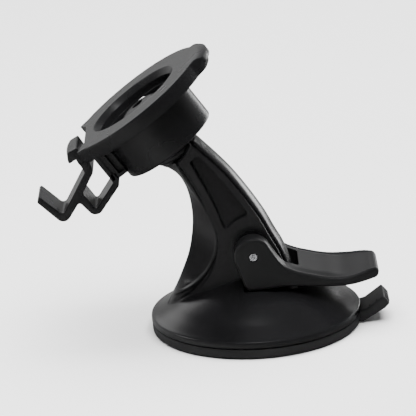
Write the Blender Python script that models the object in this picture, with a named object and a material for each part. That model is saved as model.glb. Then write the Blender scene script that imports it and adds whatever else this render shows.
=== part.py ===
"""Windscreen mount for a portable navigator: a lever-locked suction base with a curved arm,
and a ball-jointed ring head with a sprung release clip.

Metres, +Z up. The origin is on the suction cup's axis, in the plane that the cup's rim
rests on. The lever and the cup's pull tab point to +X, the arm leans to -X, and the
whole mount is symmetric about the XZ plane.
"""
from math import atan2, cos, pi, radians, sin

import bmesh
import bpy
from mathutils import Matrix, Vector

MM = 0.001
GAP = 0.3  # clearance between touching pieces; lengths below are in millimetres

# Suction base
CUP_R = 37.8  # rubber rim
CUP_FOOT_R = 37.4
CUP_RIM_H = 3.8
CUP_FLAT_R = 31.0  # inner edge of the flat annulus that seals
HUB_R = 14.0
HUB_Z = 0.5  # underside of the cup's centre when locked
HUB_H = 2.0
SKIRT_R = 38.0
SKIRT_TOP = 6.9
SKIRT_FOOT = 4.1
SKIRT_WALL = 2.4
DOME_CURVE = [(37.7, 7.3), (35.9, 8.0), (31.2, 10.8), (22.0, 15.3), (15.3, 17.3), (8.8, 19.6), (0.0, 20.6)]
SEAT_Z = 15.0  # ceiling that the spring pushes on
SEAT_R = 9.0
CAM_FLOOR_Z = 16.4  # flats on the dome that the lever's cheeks turn over
CAM_FLOOR_X = (-5.2, 18.0)
TAB_HALF = 7.0

# Arm: front keel and rear spine in the XZ plane, paired from the foot to the neck
ARM_HALF = 7.8
ARM_KEEL = [(-32.0, 9.4), (-29.2, 14.8), (-26.2, 21.0), (-23.3, 28.0), (-21.7, 34.5), (-20.9, 41.5),
            (-21.3, 48.1), (-22.6, 53.6), (-24.9, 57.9), (-28.2, 60.4)]
ARM_SPINE = [(15.6, 14.0), (14.4, 20.5), (12.9, 26.0), (11.0, 31.0), (8.4, 36.2), (5.1, 43.0),
             (0.4, 50.8), (-5.2, 58.8), (-10.2, 64.6), (-14.2, 68.6)]
ARM_BEAD = [0.24, 0.24, 0.27, 0.29, 0.29, 0.28, 0.22, 0.17, 0.15, 0.14]  # share of the way from keel to spine

# Lever and its pin
PIN_Z = 30.1
PIN_R = 1.5
PIN_BORE_R = 0.8  # dimple in each end of the pin
PIN_BORE_DEPTH = 1.2
LEVER_HALF = 15.0
LEVER_SLOT_HALF = 8.3
LEVER_SLOT_END = 16.2
CHEEK_R = 6.8
LEVER_TOP = [(5.4, 34.0), (10.0, 25.9), (14.3, 22.9), (20.0, 21.2), (26.9, 20.3), (34.0, 21.2), (41.0, 23.0)]
LEVER_TIP = [(43.6, 23.0), (44.9, 21.2), (44.4, 19.2)]
LEVER_FLOOR = [(41.0, 18.7), (35.0, 17.9), (28.4, 17.3), (21.0, 17.9), (12.0, 18.6), (3.0, 17.7)]
LEVER_HEEL = [(-0.8, 17.5), (-2.8, 17.8), (-3.7, 18.8)]
PULL_TRAVEL = 2.6
TIP_CORNER_X = 36.0  # where the lever's end starts to round off in plan
TIP_CORNER_R = 8.5

# Pull rod
STEM_R = 3.7
STEM_TOP = 34.2
ANCHOR_R = 11.5
ANCHOR_H = 1.2
BUSH_R = 4.9
BUSH_BORE_R = 4.0
BUSH_TOP = 24.0
SPRING_MEAN_R = 5.6
SPRING_WIRE_R = 0.45
SPRING_TURNS = 4.5
WASHER_H = 0.7
WASHER_R = 8.0

# Head: local X runs up the ring face, local Z is its normal, the origin is the ball's centre
HEAD_TILT = 34.5  # degrees that the ring face rises towards +X
FACE_CENTRE = (-39.3, 87.2)
FACE_H = 15.5  # ring face above the ball's centre
FLANGE_R = 28.4
FLANGE_T = 5.3
MOUTH_R = 17.8
BORE_R = 15.6
MOUTH_DEPTH = 2.2
LUG_REACH = 31.4
HOUSING_R = 17.4
HOUSING_BOTTOM = -5.5
LIP_R = 10.2
LIP_T = 1.8
BALL_R = 8.5
NECK_R = 5.0
COLLAR_R = 8.0
ARM_TOP = -10.6  # local height of the arm's end face
ARM_TOP_X = (-8.7, 9.2)  # local ends of that face, at the keel and at the spine
SPIGOT_R = 3.6
SPIGOT_DEPTH = 6.0
LINER_T = 1.1
LINER_LOW = 1.0  # high enough that the friction ring can swing under it
SOCKET_R = 12.5
SOCKET_FOOT = (-1.6, 0.4)  # heights of the socket's foot, which the retaining ring holds
PAD_HEIGHTS = (-4.6, -2.2)
PAD_R = 10.0
RETAINER_R = 10.3
RETAINER_TOP = -1.9
WINDOW_X = (-2.3, 1.0)  # snap windows through the housing's two sides

# Release clip, in the XZ plane
CLIP_HALF = 7.5
HOOK_HALF = 8.5
CLIP_T = 2.1
LOOP = (-55.1, 48.6)  # bottom of the spring loop, where the clip bends


def clear_scene():
    for obj in list(bpy.data.objects):
        bpy.data.objects.remove(obj, do_unlink=True)


def material(name, colour, roughness, metallic=0.0):
    found = bpy.data.materials.get(name)
    if found:
        return found
    made = bpy.data.materials.new(name)
    made.use_nodes = True
    shader = made.node_tree.nodes["Principled BSDF"]
    shader.inputs["Base Color"].default_value = (*colour, 1.0)
    shader.inputs["Roughness"].default_value = roughness
    shader.inputs["Metallic"].default_value = metallic
    made.diffuse_color = (*colour, 1.0)
    return made


def satin_plastic():
    return material("satin_black_plastic", (0.018, 0.018, 0.019), 0.42)


def black_rubber():
    return material("black_rubber", (0.022, 0.022, 0.023), 0.75)


def nylon():
    return material("nylon", (0.55, 0.54, 0.50), 0.5)


def steel():
    return material("steel", (0.60, 0.60, 0.62), 0.3, 1.0)


def finish(name, mesh_builder, skin, place=None, sharp=35):
    """An object from a bmesh in millimetres; place is its world matrix in millimetres."""
    bmesh.ops.remove_doubles(mesh_builder, verts=mesh_builder.verts, dist=0.0005)
    bmesh.ops.recalc_face_normals(mesh_builder, faces=mesh_builder.faces)
    bmesh.ops.scale(mesh_builder, vec=(MM, MM, MM), verts=mesh_builder.verts)
    mesh = bpy.data.meshes.new(name)
    mesh_builder.to_mesh(mesh)
    mesh_builder.free()
    mesh.shade_smooth()
    mesh.set_sharp_from_angle(angle=radians(sharp))
    obj = bpy.data.objects.new(name, mesh)
    bpy.context.collection.objects.link(obj)
    mesh.materials.append(skin)
    if place is not None:
        moved = place.copy()
        moved.translation = place.translation * MM
        obj.matrix_world = moved
    return obj


def smooth_curve(points, steps):
    """A Catmull-Rom curve through the points, with this many steps in each span."""
    ends = [[2 * a - b for a, b in zip(points[0], points[1])]]
    ends += [list(point) for point in points]
    ends += [[2 * a - b for a, b in zip(points[-1], points[-2])]]
    curve = []
    for i in range(1, len(ends) - 2):
        for k in range(steps):
            t = k / steps
            curve.append(tuple(
                0.5 * (2 * b + (c - a) * t + (2 * a - 5 * b + 4 * c - d) * t * t
                       + (3 * b - a - 3 * c + d) * t ** 3)
                for a, b, c, d in zip(*ends[i - 1:i + 3])))
    return curve + [tuple(points[-1])]


def arc(centre, radius, start, end, steps):
    """Points on an arc in the drawing plane, angles in degrees."""
    turns = [radians(start + (end - start) * i / steps) for i in range(steps + 1)]
    return [(centre[0] + radius * cos(t), centre[1] + radius * sin(t)) for t in turns]


def turned(outline, steps=48):
    """A solid turned about local Z from a closed outline of (radius, height)."""
    body = bmesh.new()
    rings = []
    for radius, height in outline:
        if radius < 1e-6:
            rings.append([body.verts.new((0, 0, height))])
            continue
        turns = [2 * pi * i / steps for i in range(steps)]
        rings.append([body.verts.new((radius * cos(t), radius * sin(t), height)) for t in turns])
    for low, high in zip(rings, rings[1:] + rings[:1]):
        if len(low) == 1 and len(high) == 1:
            continue
        for i in range(steps):
            j = (i + 1) % steps
            corners = [low[i % len(low)], low[j % len(low)], high[j % len(high)], high[i % len(high)]]
            body.faces.new(list(dict.fromkeys(corners)))
    return body


def prism(outline, low, high):
    """A closed outline in the XZ plane, extruded along Y."""
    body = bmesh.new()
    near = [body.verts.new((x, low, z)) for x, z in outline]
    far = [body.verts.new((x, high, z)) for x, z in outline]
    body.faces.new(near)
    body.faces.new(far)
    bridge(body, near, far)
    return body


def plate(outline, low, high):
    """A closed outline in the local XY plane, extruded along Z."""
    body = bmesh.new()
    under = [body.verts.new((x, y, low)) for x, y in outline]
    over = [body.verts.new((x, y, high)) for x, y in outline]
    body.faces.new(under)
    body.faces.new(over)
    bridge(body, under, over)
    return body


def bridge(body, ring, other):
    for i in range(len(ring)):
        j = (i + 1) % len(ring)
        body.faces.new([ring[i], ring[j], other[j], other[i]])


def block(low, high):
    corners = [(low[0], low[2]), (high[0], low[2]), (high[0], high[2]), (low[0], high[2])]
    return prism(corners, low[1], high[1])


def rod(radius, low, high, axis="Z", steps=32):
    body = turned([(0, low), (radius, low), (radius, high), (0, high)], steps)
    if axis == "Y":
        bmesh.ops.rotate(body, matrix=Matrix.Rotation(radians(-90), 3, "X"), verts=body.verts)
    return body


def combine(target, tool, operation):
    """Adds or cuts the tool with a Boolean, and hides the tool."""
    tool.hide_render = True
    tool.display_type = "WIRE"
    change = target.modifiers.new(tool.name, "BOOLEAN")
    change.operation = operation
    change.object = tool


def helper(name, body, place=None):
    """A form that a Boolean adds or cuts."""
    return finish(name, body, satin_plastic(), place)


def head_place():
    """The head's own frame in the world."""
    tilt = radians(HEAD_TILT)
    normal = Vector((-sin(tilt), 0, cos(tilt)))
    place = Matrix.Rotation(-tilt, 4, "Y")
    place.translation = Vector((FACE_CENTRE[0], 0, FACE_CENTRE[1])) - FACE_H * normal
    return place


def local_to_side(x, z):
    """A point of the head's own frame as (x, z) in the world's XZ plane."""
    point = head_place() @ Vector((x, 0, z))
    return point.x, point.z


# ---- suction base ----

def dome_outline():
    return [(0, SKIRT_FOOT), (SKIRT_R, SKIRT_FOOT), (SKIRT_R, SKIRT_TOP)] + smooth_curve(DOME_CURVE, 3)


def cavity_outline():
    """The hollow under the dome, with a lower ceiling that the spring pushes on."""
    inner_r = SKIRT_R - SKIRT_WALL
    return [(0, SEAT_Z), (SEAT_R, SEAT_Z), (SEAT_R + 1.0, 15.9), (15.0, 14.6), (22.0, 12.6), (30.0, 8.7),
            (inner_r, 6.0), (inner_r, SKIRT_FOOT - 1), (0, SKIRT_FOOT - 1)]


def arm_section(keel, spine, bead):
    """One closed ring round the arm, between a keel point and a spine point."""
    shares = [(0.0, 0.0), (0.012, 0.14), (bead - 0.05, 0.90), (bead, 1.0), (0.84, 1.0), (0.93, 0.86),
              (0.985, 0.48), (1.0, 0.0)]
    side = [(share, width) for share, width in shares]
    ring = side + [(share, -width) for share, width in reversed(side[1:-1])]
    across = (spine[0] - keel[0], spine[1] - keel[1])
    return [(keel[0] + across[0] * share, ARM_HALF * width, keel[1] + across[1] * share)
            for share, width in ring]


def arm_body():
    keels = ARM_KEEL + [local_to_side(ARM_TOP_X[0], ARM_TOP)]
    spines = ARM_SPINE + [local_to_side(ARM_TOP_X[1], ARM_TOP)]
    beads = ARM_BEAD + [ARM_BEAD[-1]]
    body = bmesh.new()
    rings = [[body.verts.new(point) for point in arm_section(k, s, b)]
             for k, s, b in zip(keels, spines, beads)]
    body.faces.new(rings[0])
    body.faces.new(rings[-1])
    for low, high in zip(rings, rings[1:]):
        bridge(body, low, high)
    bmesh.ops.triangulate(body, faces=[f for f in body.faces if len(f.verts) > 4])
    return body


def make_base_housing():
    housing = finish("base_housing", turned(dome_outline(), 56), satin_plastic())
    combine(housing, helper("arm_form", arm_body()), "UNION")
    combine(housing, helper("dome_cavity", turned(cavity_outline(), 48)), "DIFFERENCE")
    bore_top = BUSH_TOP + GAP
    stem_way = STEM_R + 0.5
    bore = [(0, 10.0), (BUSH_R + GAP, 10.0), (BUSH_R + GAP, bore_top), (stem_way, bore_top),
            (stem_way, 36.0), (0, 36.0)]
    combine(housing, helper("stem_bore", turned(bore, 32)), "DIFFERENCE")
    drop = PULL_TRAVEL + 0.5
    slot_r = PIN_R + 0.4
    slot = arc((0, PIN_Z), slot_r, 0, 180, 8) + arc((0, PIN_Z - drop), slot_r, 180, 360, 8)
    combine(housing, helper("pin_slot", prism(slot, -10, 10)), "DIFFERENCE")
    for side in (-1, 1):
        low, high = sorted((side * (ARM_HALF + 0.02), side * (LEVER_HALF + 0.8)))
        pad = block((CAM_FLOOR_X[0], low, CAM_FLOOR_Z), (CAM_FLOOR_X[1], high, CAM_FLOOR_Z + CHEEK_R))
        combine(housing, helper(f"cam_flat_{side}", pad), "DIFFERENCE")
    spigot_hole = rod(SPIGOT_R + GAP, ARM_TOP - SPIGOT_DEPTH - GAP, ARM_TOP + 1, steps=24)
    combine(housing, helper("spigot_hole", spigot_hole, head_place()), "DIFFERENCE")


def tab_outline():
    """Side view of the pull tab that rises from the cup's rim."""
    return [(33.0, 0.6), (38.6, 0.4), (46.4, 4.9), (48.2, 6.2), (48.5, 7.6), (46.4, 9.4), (45.0, 9.0),
            (38.9, 5.2), (38.9, 3.2), (33.0, 3.2)]


def make_suction_cup():
    outline = [(CUP_FOOT_R, 0), (CUP_R, 0.9), (CUP_R, CUP_RIM_H), (34.6, CUP_RIM_H), (33.2, 2.9),
               (HUB_R + GAP, HUB_Z + HUB_H), (HUB_R + GAP, HUB_Z), (CUP_FLAT_R, 0)]
    cup = finish("suction_cup", turned(outline, 56), black_rubber())
    combine(cup, helper("tab_form", prism(tab_outline(), -TAB_HALF, TAB_HALF)), "UNION")


# ---- pull rod ----

def make_pull_rod():
    hub = [(0, HUB_Z), (HUB_R, HUB_Z), (HUB_R, HUB_Z + HUB_H), (0, HUB_Z + HUB_H)]
    finish("cup_centre", turned(hub, 40), black_rubber())
    anchor_z = HUB_Z + HUB_H + GAP
    anchor = [(0, anchor_z), (ANCHOR_R, anchor_z), (ANCHOR_R, anchor_z + ANCHOR_H), (0, anchor_z + ANCHOR_H)]
    finish("cup_anchor", turned(anchor, 32), steel())
    stem_z = anchor_z + ANCHOR_H + GAP
    stem = finish("pull_stem", rod(STEM_R, stem_z, STEM_TOP, steps=24), nylon())
    eye = helper("stem_eye", rod(PIN_R + GAP, -6, 6, "Y", 20), Matrix.Translation((0, 0, PIN_Z)))
    combine(stem, eye, "DIFFERENCE")
    pin_end = LEVER_HALF - 0.05
    dimple = pin_end - PIN_BORE_DEPTH
    pin = [(0, -dimple), (PIN_BORE_R, -dimple), (PIN_BORE_R, -pin_end), (PIN_R, -pin_end),
           (PIN_R, pin_end), (PIN_BORE_R, pin_end), (PIN_BORE_R, dimple), (0, dimple)]
    shaft = turned(pin, 20)
    bmesh.ops.rotate(shaft, matrix=Matrix.Rotation(radians(-90), 3, "X"), verts=shaft.verts)
    finish("lever_pin", shaft, steel(), Matrix.Translation((0, 0, PIN_Z)))


def make_spring_and_bush():
    washer_top = SEAT_Z - GAP
    washer = [(BUSH_BORE_R, washer_top - WASHER_H), (WASHER_R, washer_top - WASHER_H),
              (WASHER_R, washer_top), (BUSH_BORE_R, washer_top)]
    finish("spring_washer", turned(washer, 32), steel())
    bush = [(BUSH_BORE_R, SEAT_Z), (BUSH_R, SEAT_Z), (BUSH_R, BUSH_TOP), (BUSH_BORE_R, BUSH_TOP)]
    finish("guide_bush", turned(bush, 32), nylon())
    low = HUB_Z + HUB_H + ANCHOR_H + 2 * GAP + SPRING_WIRE_R
    high = washer_top - WASHER_H - GAP - SPRING_WIRE_R
    finish("return_spring", coil(low, high), steel())


def coil(low, high, per_turn=16, sides=6):
    """A helical wire about Z between two heights, with flat closed ends."""
    body = bmesh.new()
    count = int(SPRING_TURNS * per_turn)
    rings = []
    for i in range(count + 1):
        turn = 2 * pi * i / per_turn
        along = min(max((i - per_turn / 2) / (count - per_turn), 0.0), 1.0)
        height = low + (high - low) * along
        out = Vector((cos(turn), sin(turn), 0))
        ring = []
        for k in range(sides):
            angle = 2 * pi * k / sides
            offset = out * (SPRING_MEAN_R + SPRING_WIRE_R * cos(angle))
            ring.append(body.verts.new((offset.x, offset.y, height + SPRING_WIRE_R * sin(angle))))
        rings.append(ring)
    body.faces.new(rings[0])
    body.faces.new(rings[-1])
    for ring, other in zip(rings, rings[1:]):
        bridge(body, ring, other)
    return body


# ---- lever ----

def lever_outline():
    """Side view of the lever, about its pin."""
    cheek = arc((0, PIN_Z), CHEEK_R, 193, 36, 14)
    top = smooth_curve(LEVER_TOP, 3)
    tip = smooth_curve([LEVER_TOP[-1]] + LEVER_TIP + [LEVER_FLOOR[0]], 2)[1:-1]
    floor = smooth_curve(LEVER_FLOOR, 2)
    return [(x, z - PIN_Z) for x, z in cheek + top + tip + floor + LEVER_HEEL]


def make_lever():
    pivot = Matrix.Translation((0, 0, PIN_Z))
    lever = finish("lever", prism(lever_outline(), -LEVER_HALF, LEVER_HALF), satin_plastic(), pivot)
    slot = block((-20, -LEVER_SLOT_HALF, -20), (LEVER_SLOT_END, LEVER_SLOT_HALF, 20))
    combine(lever, helper("arm_slot", slot, pivot), "DIFFERENCE")
    hole = rod(PIN_R + GAP, -20, 20, "Y", 20)
    combine(lever, helper("lever_eye", hole, pivot), "DIFFERENCE")
    for side in (-1, 1):
        outer_y, centre_y = LEVER_HALF + 0.2, LEVER_HALF - TIP_CORNER_R
        outer_x = TIP_CORNER_X + TIP_CORNER_R + 1.1
        round_end = arc((TIP_CORNER_X, centre_y), TIP_CORNER_R, 0, 90, 6)
        corner = plate([(TIP_CORNER_X, side * outer_y), (outer_x, side * outer_y), (outer_x, side * centre_y)]
                       + [(x, side * y) for x, y in round_end], -20, 0)
        combine(lever, helper(f"tip_corner_{side}", corner, pivot), "DIFFERENCE")


# ---- ball joint ----

def ball_band(radius, low, high, steps):
    """Points on a ball's outline from one height to another."""
    start, end = atan2(low, (radius ** 2 - low ** 2) ** 0.5), atan2(high, (radius ** 2 - high ** 2) ** 0.5)
    turns = [start + (end - start) * i / steps for i in range(steps + 1)]
    return [(radius * cos(t), radius * sin(t)) for t in turns]


def make_ball_stud():
    neck_z = -(BALL_R ** 2 - NECK_R ** 2) ** 0.5
    outline = ball_band(BALL_R, BALL_R - 1e-4, neck_z, 12)
    outline[0] = (0, BALL_R)
    seat = ARM_TOP + GAP
    foot = ARM_TOP - SPIGOT_DEPTH
    outline += [(NECK_R, -7.3), (COLLAR_R, seat + 1.0), (COLLAR_R, seat), (SPIGOT_R, seat),
                (SPIGOT_R, foot), (0, foot)]
    finish("ball_stud", turned(outline, 36), satin_plastic(), head_place())


def make_socket():
    inner = BALL_R + GAP
    liner = ball_band(inner, LINER_LOW, 7.8, 8) + ball_band(inner + LINER_T, 8.4, LINER_LOW, 8)
    finish("socket_liner", turned(liner, 36), nylon(), head_place())
    bore = inner + LINER_T + GAP
    top = FACE_H - 4.2
    low, high = SOCKET_FOOT
    rim = BORE_R - GAP
    crown = [(3.0, top - 0.3), (6.0, top - 0.9), (9.4, top - 2.9), (11.6, top - 5.6), (SOCKET_R, top - 8.6)]
    socket = ball_band(bore, low, 9.2, 6) + crown + [(SOCKET_R, high), (rim, high), (rim, low)]
    finish("ball_socket", turned(socket, 40), satin_plastic(), head_place())
    low, high = PAD_HEIGHTS
    pad = ball_band(inner, low, high, 3) + [(PAD_R, high), (PAD_R, low)]
    finish("friction_ring", turned(pad, 36), black_rubber(), head_place())
    low = HOUSING_BOTTOM + LIP_T + GAP
    retainer = [(RETAINER_R, RETAINER_TOP), (rim, RETAINER_TOP), (rim, low), (RETAINER_R, low)]
    finish("retaining_ring", turned(retainer, 40), satin_plastic(), head_place())


# ---- head ----

def flange_outline():
    """Plan of the ring flange: a circle with a notched lower end for the clip's hook."""
    edge = arc((0, 0), FLANGE_R, -141, 141, 52)
    return edge + [(-24.8, 16.6), (-21.8, 10.2), (-21.8, -10.2), (-24.8, -16.6)]


def clip_root_outline():
    """Block under the flange, and the spring arm that runs down from it to the loop."""
    block_side = [(-16.4, -2.6), (-20.9, -3.1)]
    arm_outer = [(-46.1, 58.6), (-46.7, 56.9), (-52.9, 48.4), (-53.9, 47.7)]
    arm_outer.append((LOOP[0] + GAP / 2, LOOP[1] - CLIP_T / 2))
    arm_inner = [(LOOP[0] + GAP / 2, LOOP[1] + CLIP_T / 2), (-54.3, 50.0), (-48.7, 57.7), (-50.4, 60.6)]
    inner_side = [(-23.4, 0.6), (-23.4, 11.4), (-16.4, 11.4)]
    points = [local_to_side(x, z) for x, z in block_side] + arm_outer + arm_inner
    return points + [local_to_side(x, z) for x, z in inner_side]


def make_mount_ring():
    place = head_place()
    low = FACE_H - FLANGE_T
    ring = finish("mount_ring", plate(flange_outline(), low, FACE_H), satin_plastic(), place)
    shell = [(HOUSING_R, low + 1.0), (HOUSING_R, HOUSING_BOTTOM), (LIP_R, HOUSING_BOTTOM),
             (LIP_R, low + 1.0)]
    combine(ring, helper("housing_wall", turned(shell, 56), place), "UNION")
    combine(ring, helper("clip_root", prism(clip_root_outline(), -CLIP_HALF, CLIP_HALF)), "UNION")
    lug = plate([(25.0, -10.5), (29.4, -9.0)] + arc((23.2, 0), LUG_REACH - 23.2, -36, 36, 6)
                + [(29.4, 9.0), (25.0, 10.5)], low + 0.6, FACE_H - 0.3)
    combine(ring, helper("lug", lug, place), "UNION")
    floor = HOUSING_BOTTOM + LIP_T
    bore = [(0, floor), (BORE_R, floor), (BORE_R, FACE_H - MOUTH_DEPTH), (MOUTH_R, FACE_H),
            (MOUTH_R, FACE_H + 3), (0, FACE_H + 3)]
    combine(ring, helper("head_bore", turned(bore, 56), place), "DIFFERENCE")
    window = block((WINDOW_X[0], -25, low - 2.0), (WINDOW_X[1], 25, low - 0.2))
    combine(ring, helper("snap_windows", window, place), "DIFFERENCE")


def clip_outline():
    """Side view of the release clip: shank, stem, finger tab and its half of the spring loop."""
    bend_x = LOOP[0] - GAP / 2
    front = [(-60.9, 68.4), (-57.9, 63.0), (-64.6, 50.3), (-65.6, 48.4), (-67.1, 47.9), (-69.2, 49.4),
             (-74.6, 54.4), (-75.5, 54.3)]
    finger = [(-75.7, 53.2), (-75.1, 52.4), (-68.7, 46.5), (-66.7, 45.5), (-64.7, 46.3), (-61.4, 51.6)]
    loop = [(-60.6, 51.9), (-59.7, 51.2), (-57.1, 48.4), (-56.1, 47.7), (bend_x, LOOP[1] - CLIP_T / 2)]
    back = [(bend_x, LOOP[1] + CLIP_T / 2), (-58.8, 53.6), (-57.9, 55.9), (-55.3, 61.8), (-55.6, 64.8),
            (-58.0, 69.3)]
    return front + finger + loop + back


def hook_outline():
    return [(-60.6, 72.1), (-62.6, 71.3), (-64.1, 69.6), (-63.2, 67.2), (-60.9, 68.4), (-59.6, 66.1), (-57.0, 67.4),
            (-58.0, 69.3)]


def from_loop(outline):
    """An outline measured from the loop, where the clip bends."""
    return [(x - LOOP[0], z - LOOP[1]) for x, z in outline]


def make_release_clip():
    bend = Matrix.Translation((LOOP[0], 0, LOOP[1]))
    shank = prism(from_loop(clip_outline()), -CLIP_HALF, CLIP_HALF)
    clip = finish("release_clip", shank, satin_plastic(), bend)
    hook = helper("hook_form", prism(from_loop(hook_outline()), -HOOK_HALF, HOOK_HALF), bend)
    combine(clip, hook, "UNION")


def main():
    clear_scene()
    make_base_housing()
    make_suction_cup()
    make_pull_rod()
    make_spring_and_bush()
    make_lever()
    make_ball_stud()
    make_socket()
    make_mount_ring()
    make_release_clip()


main()
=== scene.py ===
"""The looks of the windscreen mount: finely moulded shells, lever, ring head, spring clip and
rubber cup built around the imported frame, with their materials, the floor, lights and camera.

Shapes are drawn in millimetres in the frame's own axes: +Z up, the suction cup's axis at the
origin, the lever and pull tab towards +X. The mount is symmetric about the XZ plane.
"""

from math import asin, atan2, cos, hypot, pi, radians, sin, sqrt, tan

import bmesh
import bpy
import numpy as np
from mathutils import Matrix, Vector


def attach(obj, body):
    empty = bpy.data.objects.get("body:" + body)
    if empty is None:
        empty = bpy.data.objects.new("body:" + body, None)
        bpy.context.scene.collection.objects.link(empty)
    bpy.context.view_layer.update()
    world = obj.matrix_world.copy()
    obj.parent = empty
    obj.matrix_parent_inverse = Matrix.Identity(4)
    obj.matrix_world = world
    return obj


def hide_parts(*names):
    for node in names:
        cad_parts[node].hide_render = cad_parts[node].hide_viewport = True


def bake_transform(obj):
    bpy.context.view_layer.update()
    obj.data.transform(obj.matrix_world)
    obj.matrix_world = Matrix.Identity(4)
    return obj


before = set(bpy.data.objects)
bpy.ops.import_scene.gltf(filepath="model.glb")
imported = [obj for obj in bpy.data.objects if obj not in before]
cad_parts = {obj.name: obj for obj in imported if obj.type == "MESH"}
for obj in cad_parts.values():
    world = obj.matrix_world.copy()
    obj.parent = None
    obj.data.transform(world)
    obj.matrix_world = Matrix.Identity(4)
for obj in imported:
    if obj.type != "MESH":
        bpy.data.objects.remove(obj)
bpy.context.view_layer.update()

MM = 0.001

# Camera: distance and target in metres, angles in degrees
CAMERA_AZIMUTH = 0.62
CAMERA_ELEVATION = 17.74
CAMERA_ROLL = -3.59
CAMERA_DISTANCE = 1.0
CAMERA_TARGET = (-0.01513, 0.0, 0.04484)
CAMERA_WIDTH = 0.1494  # what the frame takes in at the target
SENSOR_MM = 36.0

# What the gloss reflects before and behind the mount: (sine of elevation, grey)
FRONT_SKY = [(-1.0, 0.03), (-0.75, 0.05), (-0.55, 0.36), (-0.3, 0.38), (-0.17, 0.16), (0.0, 0.10),
             (0.5, 0.05), (1.0, 0.10)]
BACK_SKY = [(-1.0, 0.06), (-0.5, 0.16), (-0.1, 0.46), (0.03, 0.62), (0.13, 0.60), (0.27, 0.10), (0.6, 0.03),
            (1.0, 0.08)]

# Suction base
SKIRT_R = 38.0
SKIRT_FOOT = 4.1
SKIRT_TOP = 6.3
DOME_CURVE = [(37.1, 6.65), (35.7, 7.25), (33.4, 8.45), (31.0, 9.8), (26.6, 12.6), (22.0, 14.9), (15.3, 17.3),
              (8.8, 19.6), (0.0, 20.8)]
CAVITY = [(0, 15.0), (9.0, 15.0), (10.0, 15.9), (15.0, 14.6), (22.0, 12.6), (30.0, 8.7), (35.6, 6.0),
          (35.6, 3.1), (0, 3.1)]
STEM_BORE = [(0, 10.0), (5.2, 10.0), (5.2, 24.3), (4.2, 24.3), (4.2, 36.0), (0, 36.0)]
CAM_FLAT = (-4.0, 18.0, 3.8)  # first and last X and half height of the dome's flat under each cam
CAM_FLAT_CENTRE = (11.53, 20.2)  # Y and Z
CAM_FLAT_HALF = 3.68
CUP_R = 37.8
HUB_R = 14.0
HUB_Z = 0.5

# Pull tab: X and Z places on its side
TAB_HALF = 7.0
TAB_HOLES = [(41.2, 5.95), (43.8, 7.75)]
TAB_HOLE_R = 0.55
TAB_RIBS = (0.2, 0.5, 0.8)  # shares of the way down the end face
TAB_RIB_R = 0.34
TAB_RIB_HALF = 5.6

# Arm: front keel and rear spine in the XZ plane, paired from the foot to the neck
ARM_KEEL = [(-32.0, 9.4), (-29.2, 14.8), (-26.2, 21.0), (-23.3, 28.0), (-21.7, 34.5), (-20.9, 41.5),
            (-21.3, 48.1), (-22.6, 53.6), (-24.9, 57.9), (-28.2, 60.7), (-31.6, 61.8), (-33.8, 64.0)]
ARM_SPINE = [(15.6, 14.0), (14.4, 20.5), (12.9, 26.0), (11.0, 31.0), (8.3, 36.2), (4.9, 43.0), (0.1, 50.7),
             (-5.5, 58.6), (-10.5, 64.4), (-14.4, 68.5), (-16.9, 71.1), (-20.6, 74.4)]
FRONT_EDGE = [(-26.8, 66.0), (-24.4, 62.0), (-22.3, 58.0), (-18.4, 50.7), (-15.0, 43.4), (-13.1, 37.5),
              (-13.3, 32.0), (-14.8, 27.6), (-18.0, 22.6), (-22.4, 18.7), (-27.2, 15.6), (-32.0, 13.0)]
SIDE_EDGE = [(-25.4, 66.6), (-23.2, 62.6), (-21.0, 58.4), (-17.1, 51.0), (-13.7, 43.9), (-11.7, 38.0),
             (-11.7, 32.0), (-12.9, 27.0), (-15.2, 21.6), (-18.6, 17.0), (-22.0, 12.0)]
PANEL = [(-18.6, 66.2), (-20.3, 64.6), (-19.7, 62.3), (-13.6, 49.5), (-10.6, 41.0), (-9.8, 39.3),
         (-8.3, 39.2), (-6.4, 41.0), (-4.2, 42.4), (-2.0, 43.2), (-1.3, 44.4), (-2.2, 46.4),
         (-9.8, 57.6), (-16.4, 65.7)]
ARM_HALF = 7.8
SIDE_HALF = 7.35
FRONT_HALF = 7.1
CREST_HALF = 6.3
CREST_DEPTH = 1.7
PANEL_SLOPE = 0.07  # the panel's floor sinks towards the neck
TOE_ROUND = 6.0
END_ROUND = 1.2
FOOT_FILLET = 0.6
PANEL_DEPTH = 1.3
BEAD = 0.42
VALLEY = (1.1, 0.8)  # how deep its near and far slopes are
CREST_GROOVE = 0.35
PIN_SLOT = (1.9, 25.1, 1.85)  # half width, lowest point and end radius

# Lever
PIN_Z = 30.1
CHEEK_R = 6.8
LEVER_HALF = 15.0
LEVER_TOP = [(5.4, 34.0), (10.0, 26.9), (14.3, 24.1), (20.0, 22.3), (26.9, 20.8), (34.0, 20.6), (40.6, 21.7)]
LEVER_TIP = [(45.1, 22.1, 1.75), (44.5, 18.2, 1.75)]
LEVER_FLOOR = [(41.0, 17.9), (35.0, 17.4), (28.4, 17.3), (21.0, 17.6), (12.0, 18.2), (3.0, 17.6)]
LEVER_HEEL = [(-0.8, 17.4), (-2.6, 17.8), (-3.6, 18.9)]
LEVER_EDGE = 1.1
TIP_NARROWING = 0.40
SLOT_HALF = 8.3  # the gap between the cheeks, where the arm stands
SLOT_END = 16.2
EYE_R = 1.65

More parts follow.
